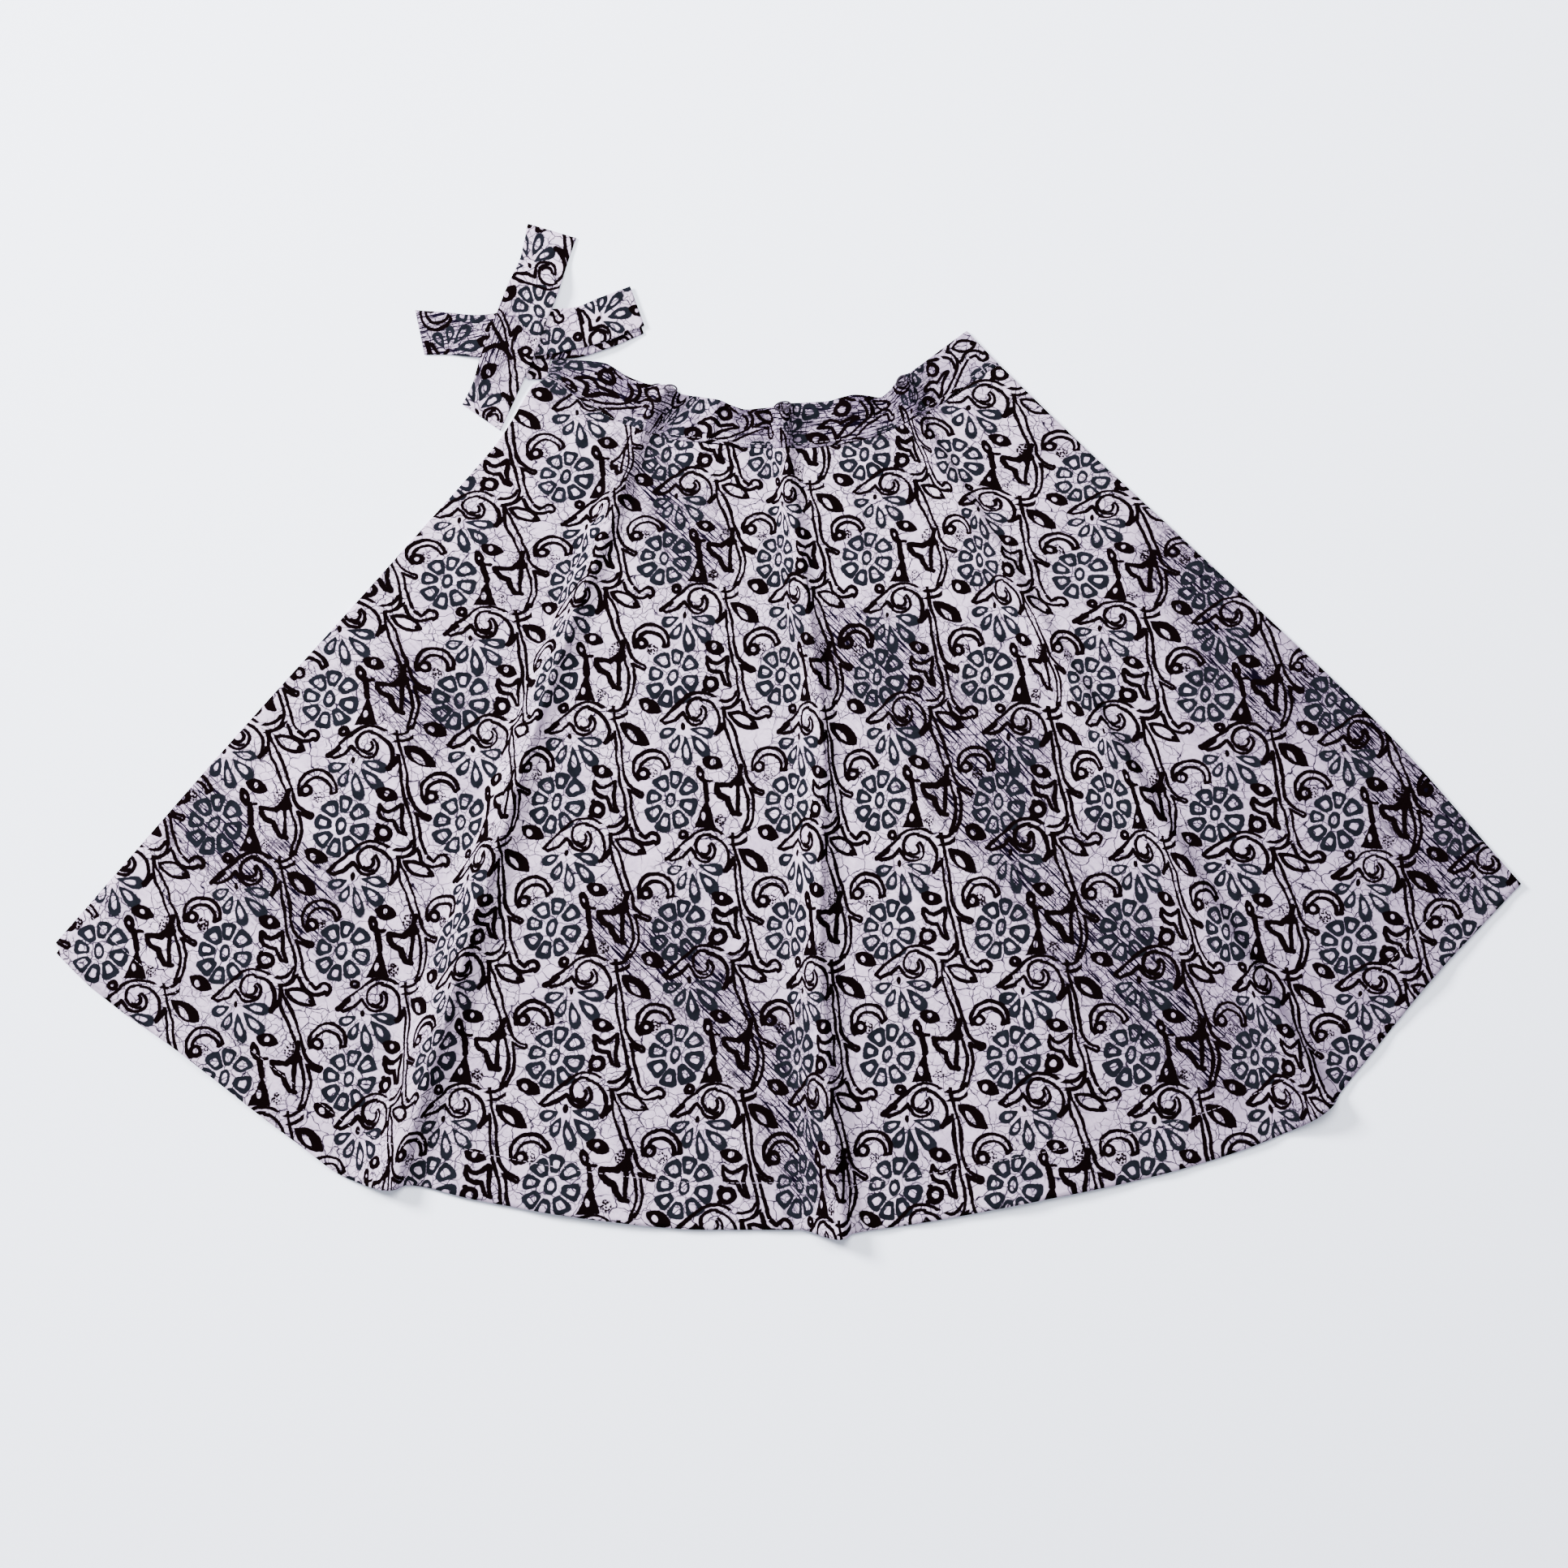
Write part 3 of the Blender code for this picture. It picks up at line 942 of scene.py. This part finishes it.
class Graph:
    """The nodes of one material."""

    def __init__(self, name):
        self.material = bpy.data.materials.new(name)
        self.material.use_nodes = True
        self.nodes = self.material.node_tree.nodes
        self.links = self.material.node_tree.links
        self.shader = self.nodes["Principled BSDF"]

    def node(self, kind, settings, inputs, output=0):
        """A new node, its settings made first, then the values and links of its sockets."""
        made = self.nodes.new("ShaderNode" + kind)
        for name, value in settings.items():
            if name == "curve":
                self.draw_curve(made.mapping, value)
            else:
                setattr(made, name, value)
        for key, value in inputs.items():
            if isinstance(value, Field):
                self.links.new(value.socket, made.inputs[key])
            else:
                made.inputs[key].default_value = value
        return Field(self, made.outputs[output])

    @staticmethod
    def draw_curve(mapping, points):
        """A curve through points, both coordinates from 0 to 1."""
        curve = mapping.curves[0]
        for place, point in zip((0, -1), (points[0], points[-1])):
            curve.points[place].location = point
        for x, y in points[1:-1]:
            curve.points.new(x, y)
        mapping.update()

    def blend(self, factor, first, second):
        """A colour between two colours."""
        return self.node("Mix", {"data_type": "RGBA"}, {0: factor, 6: first, 7: second}, 2)

    def tint(self, factor, colour, by):
        """A colour multiplied by another one, as far as the factor says."""
        settings = {"data_type": "RGBA", "blend_type": "MULTIPLY"}
        return self.node("Mix", settings, {0: factor, 6: colour, 7: by}, 2)

    def vector(self, x, y):
        """A vector that is the same everywhere, for a Vector Math node to scale."""
        return self.node("CombineXYZ", {}, {0: x, 1: y})

    def noise(self, place, size, detail, roughness):
        """Soft random values round 0.5, in patches of a size in the place's units."""
        settings = {"noise_dimensions": "2D"}
        inputs = {"Vector": place, "Scale": 1 / size, "Detail": detail, "Roughness": roughness}
        return self.node("TexNoise", settings, inputs)

    def uneven(self, place, patches, reach):
        """Soft random values round 0, up to half the reach away from it."""
        return self.noise(place, *patches).times_plus(reach, -reach / 2)

    def finish(self, colour, roughness, normal):
        """Joins what varies to the shader."""
        for name, value in (("Base Color", colour), ("Roughness", roughness), ("Normal", normal)):
            self.links.new(value.socket, self.shader.inputs[name])
        return self.material


def rgb(red, green, blue):
    """A linear colour from the numbers of a screen colour."""
    linear = [((part / 255 + 0.055) / 1.055) ** 2.4 for part in (red, green, blue)]
    return (*linear, 1)


MOTTLED = rgb(214, 208, 222)
SHADED_RIGHT = rgb(210, 209, 214)
SHADED_BELOW = rgb(243, 243, 244)
STAINED = rgb(192, 187, 197)
CRACKED = rgb(22, 20, 34)
BLUE_INKS = (rgb(9, 10, 14), rgb(21, 23, 30))
DARK_INK = rgb(5, 0, 1)


def arc_distance(place, arc):
    """Distance to the edge of a stroke along part of a circle."""
    away = place.maths("DISTANCE", (arc.x, arc.y, 0))
    ring = abs(away - arc.radius) - arc.half_width
    half_span = (arc.end - arc.start) / 2
    if half_span >= 180:
        return ring
    middle = math.radians((arc.start + arc.end) / 2)
    towards_x, towards_y = math.cos(middle), math.sin(middle)
    kept = arc.radius * math.cos(math.radians(half_span))
    beyond = arc.x * towards_x + arc.y * towards_y + kept
    return ring.most(beyond - place.along(towards_x, towards_y))


def bar_distance(place, bar):
    """Distance to the edge of a straight stroke with round ends."""
    x, y = bar.x2 - bar.x1, bar.y2 - bar.y1
    squared = x * x + y * y
    start = -(bar.x1 * x + bar.y1 * y) / squared
    share = place.along(x / squared, y / squared) + start
    share.socket.node.use_clamp = True
    foot = (place.graph.vector(x, y) * share) + (bar.x1, bar.y1, 0)
    return place.maths("DISTANCE", foot) - bar.half_width


def strokes(place, shapes):
    """Distance to the nearest of some arcs and bars."""
    distances = []
    for shape in shapes:
        read = arc_distance if isinstance(shape, Arc) else bar_distance
        distances.append(read(place, shape))
    return reduce(Field.least, distances)


def outlined(shape, half_width):
    """Distance to the line along a shape's edge."""
    return abs(shape) - half_width


def pierced(shape, hole):
    """Distance to a shape with a hole in it."""
    return shape.most(hole * -1)


def shifted(place, shift, second):
    """Place in a cell, for shapes that stand elsewhere in the second kind of cell."""
    return place - place.graph.vector(*shift) * second


def oval(place, shape):
    """Distance to the edge of a solid oval."""
    x, y, half_length, half_height, turn = shape
    settings = {"vector_type": "TEXTURE"}
    inputs = {
        "Vector": place,
        "Location": (x, y, 0),
        "Rotation": (0, 0, math.radians(turn)),
        "Scale": (half_length, half_height, 1),
    }
    away = place.graph.node("Mapping", settings, inputs).maths("LENGTH")
    size = (half_length + half_height) / 2
    return away.times_plus(size, -size)


def leaf(place, shape):
    """Distance to the edge of a solid leaf with two pointed ends."""
    x1, y1, x2, y2, width = shape
    along = Vector((x2 - x1, y2 - y1))
    half = along.length / 2
    radius = (half * half + width * width / 4) / width
    side = Vector((-along.y, along.x)).normalized() * (radius - width / 2)
    middle = Vector(((x1 + x2) / 2, (y1 + y2) / 2))
    first, second = middle + side, middle - side
    one = place.maths("DISTANCE", (first.x, first.y, 0))
    other = place.maths("DISTANCE", (second.x, second.y, 0))
    return one.most(other) - radius


def flower(place, shape):
    """Distance to the lines of petals round a middle. The cut is a direction with no petal.

    Petals are drops, or wedges with round corners.
    """
    middle, petals, cut, size, half_width, wedges = shape
    settings = {"vector_type": "TEXTURE"}
    turn = math.radians(cut - 180)
    inputs = {"Vector": place, "Location": (*middle, 0), "Rotation": (0, 0, turn), "Scale": (1, 1, 1)}
    local = place.graph.node("Mapping", settings, inputs)
    x, y = local.parts()
    inputs = {0: local.maths("LENGTH"), 1: y.maths("ARCTAN2", x)}
    polar = place.graph.node("CombineXYZ", {}, inputs)
    powers = []
    for petal in petals:
        angle = (petal.angle - cut) % 360 - 180
        spread = petal.half_width / petal.reach
        scale = (1 / petal.half_length, 1 / spread, 0)
        offset = (-petal.reach / petal.half_length, -math.radians(angle) / spread, 0)
        away = polar.times_plus(scale, offset)
        if wedges:
            away = away.maths("MULTIPLY", away)
        powers.append(away.maths("DOT_PRODUCT", away))
    nearest = reduce(Field.least, powers).maths("POWER", 0.25 if wedges else 0.5)
    return abs(nearest - 1).times_plus(size, -half_width)


def turned(place, angle):
    """The place turned round the origin."""
    inputs = {"Vector": place, "Angle": angle}
    return place.graph.node("VectorRotate", {"rotation_type": "Z_AXIS"}, inputs)


def window(place, x, y):
    """Place in the cell whose own x and y are nearest, and 1 in the second kind of cell, 0 in the first."""
    off_x, off_y = ROSETTE_OFF
    scale = (1 / CELL_WIDTH, 1 / CELL_HEIGHT, 0)
    offset = (0.5 - x / CELL_WIDTH, 0.5 - y / CELL_HEIGHT, 0)
    cell = place.times_plus(scale, offset).maths("FLOOR")
    second = cell.along(1, 1).maths("FLOORED_MODULO", 2)
    local = cell.times_plus((-CELL_WIDTH, -CELL_HEIGHT, 0), place)
    local = local + place.graph.vector(2 * off_x, 2 * off_y) * second
    leaning = place.graph.node("CombineXYZ", {}, {0: local.along(0, LEAN) + off_x, 1: off_y})
    return local - leaning, second


def vine_curve(height, name):
    """x of one of the vine's lines at a height, for a height from 0 to 1 over the window."""
    low, high = VINE[-1].height, VINE[0].height
    points = []
    for row in reversed(VINE):
        x = (getattr(row, name) - VINE_START) / VINE_REACH
        points.append(((row.height - low) / (high - low), x))
    return height.graph.node("FloatCurve", {"curve": points}, {"Value": height})


def vine_lines(place, second):
    """Distance to the two lines of the vine's upright stem."""
    x, y = place.parts()
    low, high = VINE[-1].height, VINE[0].height
    height = y.share(low, high, smoothed=False)
    sides = []
    for side in ("left", "right"):
        in_first, in_second = vine_curve(height, f"first_{side}"), vine_curve(height, f"second_{side}")
        sides.append(in_first + (in_second - in_first) * second)
    left, right = sides
    across = (x - VINE_START) / VINE_REACH
    above = (y - STEM_TOP) / VINE_REACH - second
    left_away = abs(across - left).most(above)
    root = ((y - FINGER_ROOT[0]).least(FINGER_ROOT[1] - y)) / VINE_REACH
    right_away = abs(across - right).most(root)
    return left_away.least(right_away) * VINE_REACH - VINE_HALF_WIDTH


def tulip(place):
    """Lines of a crown with a long tail, and of the heart drop under it."""
    heart = outlined(oval(place, HEART), RING_HALF_WIDTH)
    return strokes(place, TULIP + HEART_CORNERS).least(heart)


def bell(place):
    """Lines of a bell flower, with the key and the dark triangle beside it."""
    ring = outlined(oval(place, KEY_RING), RING_HALF_WIDTH)
    sides = [place.along(side.x, side.y) + side.offset for side in TRIANGLE]
    triangle = pierced(reduce(Field.most, sides), oval(place, TRIANGLE_HOLE))
    return strokes(place, BELL + KEY).least(ring).least(triangle)


def dots(place, first):
    """Distance to the fine dots of the patches, some of them in the second kind of cell only."""
    settings = {"voronoi_dimensions": "2D"}
    inputs = {"Vector": place, "Scale": 1 / DOT_PITCH}
    away = place.graph.node("TexVoronoi", settings, inputs).times_plus(DOT_PITCH, -DOT_RADIUS)
    patches = [oval(place, patch.shape) + first * FAR * patch.second_only for patch in DOT_PATCHES]
    return away.most(reduce(Field.least, patches))


def rosette_group(place):
    """Ink of the rosette and of what stands at its right side: the blue ink, then the dark ink."""
    local, second = window(place, *ROSETTE_WINDOW)
    first = 1 - second
    petals = flower(local, ROSETTE)
    eye = outlined(oval(local, ROSETTE_EYE), EYE_HALF_WIDTH)
    aside = shifted(local - (*CURL_MIDDLE, 0), CURL_SHIFT, second)
    dark = strokes(turned(aside, second * -CURL_TURN), CURL)
    aside = shifted(local, DROP_SHIFT, second)
    drop = pierced(leaf(aside, DROP), oval(aside, DROP_HOLE))
    lower_drop = pierced(leaf(local, LOWER_DROP), oval(local, LOWER_DROP_HOLE))
    dark = dark.least(drop).least(lower_drop + second * FAR)
    dark = dark.least(tulip(local) + second * FAR).least(bell(local) + first * FAR)
    return petals.least(eye), dark.least(dots(local, first))


def palmette_group(place):
    """Ink of the fan of petals and of the scroll over it: the blue ink, then the dark ink."""
    local, second = window(place, *PALMETTE_WINDOW)
    aside = shifted(local, SCROLL_SHIFT, second)
    tip = strokes(aside, SCROLL_TIP) + second * FAR
    return flower(aside, PALMETTE), strokes(aside, SCROLL).least(oval(aside, PALMETTE_EYE)).least(tip)


def vine_group(place):
    """Dark ink of the vine, of the finger that leaves it and of the leaf beside it."""
    local, second = window(place, *VINE_WINDOW)
    first = 1 - second
    finger = strokes(shifted(local, FINGER_SHIFT, second), FINGER)
    dark_leaf = pierced(leaf(local, DARK_LEAF), leaf(local, DARK_LEAF_HOLE))
    open_leaf = outlined(leaf(local, OPEN_LEAF), OPEN_LEAF_HALF_WIDTH)
    open_leaf = open_leaf.least(bar_distance(local, OPEN_LEAF_VEIN))
    leaves = (dark_leaf + second * FAR).least(open_leaf + first * FAR)
    return vine_lines(local, second).least(finger).least(leaves)


def hook_group(place):
    """Dark ink of the vine's round-ended hook, which only the first kind of cell has."""
    local, second = window(place, *HOOK_WINDOW)
    return strokes(local, HOOK) + second * FAR


def printed_cotton(name, ground, stain, crackle):
    """Batik cotton: two inks on a mottled ground, cracks in the wax, and a plain weave."""
    graph = Graph(name)
    spot = graph.node("UVMap", {"uv_map": "print"}, {}) * PER_METRE
    place = bent(graph, spot, *INK_BENDS)

    blue, dark = rosette_group(place)
    blue_fan, dark_fan = palmette_group(place)
    blue = blue.least(blue_fan)
    dark = dark.least(dark_fan).least(vine_group(place)).least(hook_group(place))

    edge = graph.uneven(spot, RAGGED, 0.9) + graph.uneven(spot, SWELLING, 1.5)
    dark_ink = (dark + edge).share(INK_SPREAD + INK_FADE, INK_SPREAD - INK_FADE)
    blue_ink = (blue + edge).share(INK_SPREAD + INK_FADE, INK_SPREAD - INK_FADE)

    laid = graph.node("TexCoord", {}, {}, 3)
    stained = stains(graph, laid)
    clouds = graph.noise(spot, *CLOUDS).share(0.4, 0.7)
    mottle = graph.noise(spot, *MOTTLE).share(0.3, 0.75)
    colour = graph.blend(clouds, ground, stain)
    colour = graph.tint(mottle * 0.45, colour, MOTTLED)
    colour = graph.tint(laid.along(1, 0).share(0.05, 0.45), colour, SHADED_RIGHT)
    colour = graph.tint(laid.along(0, -1).share(0.05, 0.25), colour, SHADED_BELOW)
    colour = graph.tint(stained * 0.5, colour, STAINED)
    colour = graph.tint(crack_lines(graph, spot, stained) * crackle, colour, CRACKED)
    colour = graph.blend(blue_ink, colour, graph.blend(graph.noise(spot, *BLUE_DEPTH), *BLUE_INKS))
    colour = graph.blend(dark_ink, colour, DARK_INK)

    thread_along = spot.along(2 * math.pi / THREAD_PITCH, 0).maths("SINE")
    thread_up = spot.along(0, 2 * math.pi / THREAD_PITCH).maths("SINE")
    height = thread_along * thread_up * THREAD_HEIGHT + graph.noise(spot, *CRUMPLE)
    inputs = {"Height": height, "Strength": 1.0, "Distance": BUMP_DEPTH}
    normal = graph.node("Bump", {}, inputs)
    roughness = dark_ink.times_plus(-0.08, 0.86)
    graph.shader.inputs["Specular IOR Level"].default_value = 0.0
    return graph.finish(colour, roughness, normal)


def bent(graph, place, size, reach):
    """The place moved about by up to half the reach, in soft bends of a size."""
    inputs = {"Vector": place, "Scale": 1 / size}
    wander = graph.node("TexNoise", {"noise_dimensions": "2D"}, inputs, 1)
    wander.vector = True
    return wander.maths("MULTIPLY_ADD", (reach, reach, 0), place) - (reach / 2, reach / 2, 0)


def stains(graph, laid):
    """1 in the middle of the slanting stains, 0 outside them."""
    place = bent(graph, laid * PER_METRE, *STAIN_BENDS)
    return (strokes(place, STAINS) + graph.uneven(place, STAIN_RAGGED, 34)).share(STAIN_EDGE, STAIN_HEART)


def crack_lines(graph, spot, stained):
    """Fine lines where the wax cracked: a wide net, a close net in patches, and hatching in the stains."""
    nets = []
    for size, width, low, high, strength in NETS:
        settings = {"voronoi_dimensions": "2D", "feature": "DISTANCE_TO_EDGE"}
        inputs = {"Vector": bent(graph, spot, size * 0.8, size * 0.6), "Scale": 1 / size}
        lines = graph.node("TexVoronoi", settings, inputs).share(width, 0.0)
        patches = (graph.noise(spot, size * 4, 2.0, 0.5) + stained * 0.2).share(low, high)
        nets.append(lines * patches * strength)
    slanting = turned(spot, HATCHING_TURN) * HATCHING_STRETCH
    hatching = graph.noise(slanting, *HATCHING).share(0.5, 0.58)
    return reduce(Field.most, nets).most(hatching * stained)


def plain(name, colour, roughness):
    """A plain finish, for the surface, the thread and the dark rims, which are partly inked and partly
    painted shade.
    """
    graph = Graph(name)
    graph.shader.inputs["Base Color"].default_value = colour
    graph.shader.inputs["Roughness"].default_value = roughness
    graph.shader.inputs["Specular IOR Level"].default_value = 0.1
    return graph.material


def stitch_rows(name, paths, material):
    """Short straight stitches along some paths on the cloth, all in one piece."""
    shapes = bmesh.new()
    for path in paths:
        steps = np.linalg.norm(np.diff(path, axis=0), axis=1)
        reach = np.concatenate([[0.0], np.cumsum(steps)])
        starts = np.arange(STITCH_PITCH, reach[-1] - STITCH_PITCH, STITCH_PITCH)
        ends = starts + STITCH_LENGTH
        heads = np.stack([np.interp(starts, reach, path[:, axis]) for axis in range(3)], axis=1)
        tails = np.stack([np.interp(ends, reach, path[:, axis]) for axis in range(3)], axis=1)
        for head, tail in zip(heads * MM, tails * MM):
            along = Vector(tail - head)
            made = bmesh.ops.create_cube(shapes, size=1)["verts"]
            size = Matrix.Diagonal((along.length, STITCH_THICKNESS * MM, STITCH_THICKNESS * MM, 1))
            turn = along.to_track_quat("X", "Z").to_matrix().to_4x4()
            place = Matrix.Translation((head + tail) / 2)
            bmesh.ops.transform(shapes, matrix=place @ turn @ size, verts=made)
    return new_piece(name, shapes, material)


def flute_rims(material):
    """Short oval tubes of cloth at the open tops of the flutes, all in one piece."""
    shapes = bmesh.new()
    for rim in RIMS:
        tube = bmesh.ops.create_cone(shapes, segments=RIM_SIDES, radius1=1, radius2=1, depth=1)
        size = Matrix.Diagonal((rim.half_length, rim.half_width, RIM_DEPTH, 1))
        turn = Matrix.Rotation(math.radians(rim.turn), 4, "Z")
        lean = Matrix.Rotation(math.radians(RIM_LEAN), 4, "X")
        place = Matrix.Scale(MM, 4) @ Matrix.Translation((rim.x, rim.y, RIM_MIDDLE))
        bmesh.ops.transform(shapes, matrix=place @ lean @ turn @ size, verts=tube["verts"])
    piece = new_piece("flute_rims", shapes, material)
    thicken(piece, -1)
    return piece


def on_top(points, row):
    """The upper face of the cloth on the first level, along one row of points."""
    path = points[row].copy()
    path[:, 2] += LEVEL / MM + CLOTH / MM
    return path


def build_skirt():
    """The panels, the waistband with its stitches and rims, and the ties."""
    panel = printed_cotton("panel_cotton", rgb(190, 173, 196), rgb(171, 154, 178), 1.2)
    # The band's darker cotton also serves as painted shade on the tie that lies in the others' shade
    band = printed_cotton("band_cotton", rgb(169, 153, 177), rgb(131, 116, 142), 1.3)
    light = printed_cotton("tie_cotton", rgb(190, 173, 196), rgb(172, 154, 179), 1.2)

    runs = face_runs(LEFT_EDGE, BACK_FINER)
    down = np.linspace(SEAM, HEM, BACK_ROWS + 1)
    points = back_points(runs, down)
    back = cloth("back_cloth", points, 0, panel_print(points, runs, down), panel)
    dressed(back, "back_panel")

    runs = face_runs(LEFT_EDGE, PANEL_FINER)
    down = np.linspace(SEAM, HEM, PANEL_ROWS + 1)
    points = front_points(runs, down)
    front = cloth("front_cloth", points, 1, panel_print(points, runs, down), panel)
    dressed(front, "front_panel")
    hem_path = on_top(points, round((HEM - HEM_DEPTH) * PANEL_ROWS))

    runs = face_runs(BAND_END, BAND_FINER)
    points = front_band_points(runs)
    spots = band_print(points, runs)
    front_band = cloth("waistband_front_cloth", points, 1, spots, band)
    dressed(front_band, "waistband_front")
    seam_path = on_top(points, round((1 - WAIST_STITCH_UP / BAND_WIDTH) * BAND_ROWS))
    thread = plain("pale_thread", rgb(138, 126, 144), 0.8)
    stitches = stitch_rows("stitches", [hem_path, seam_path], thread)
    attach(stitches, "root")

    back_band = cloth("waistband_back_cloth", back_band_points(runs), 0, spots, band)
    dressed(back_band, "waistband_back")
    # The rims' dark finish is partly the ink on the rolled edge and partly painted shade of the open flute
    # tops
    rims = flute_rims(plain("inked_edge_and_painted_shade", rgb(34, 28, 37), 0.85))
    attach(rims, "root")

    for tie in TIES:
        points = strip_points(tie.sections)
        if tie.across:
            points = np.swapaxes(points, 0, 1)
        # A tie that lies in the others' shade gets the darker band cotton: painted shade
        cotton = band if tie.shaded else light
        piece = cloth(f"{tie.node}_cloth", points, 0, tie_print(points, tie), cotton)
        dressed(piece, tie.node)


def build_stage():
    """The pale surface, the soft lights and the camera straight above."""
    grid = bmesh.new()
    bmesh.ops.create_grid(grid, x_segments=1, y_segments=1, size=SURFACE_REACH)
    surface = new_piece("surface", grid, plain("pale_surface", rgb(236, 241, 255), 0.9))
    surface.location = (0, 0, -SURFACE_DROP)

    for name, place, size, power in LIGHTS:
        data = bpy.data.lights.new(name, "AREA")
        data.size = size
        data.energy = power
        light = added(name, data)
        light.location = place
        light.rotation_euler = (-Vector(place)).to_track_quat("-Z", "Y").to_euler()

    world = bpy.data.worlds.new("studio")
    world.use_nodes = True
    sky = world.node_tree.nodes["Background"].inputs
    sky["Color"].default_value = SKY_COLOUR
    sky["Strength"].default_value = SKY_STRENGTH
    bpy.context.scene.world = world

    data = bpy.data.cameras.new("camera")
    data.sensor_width = SENSOR_WIDTH
    data.lens = SENSOR_WIDTH * CAMERA_HEIGHT / FRAME_WIDTH
    camera = added("camera", data)
    camera.location = (*FRAME_MIDDLE, CAMERA_HEIGHT)
    bpy.context.scene.camera = camera


build_stage()
build_skirt()
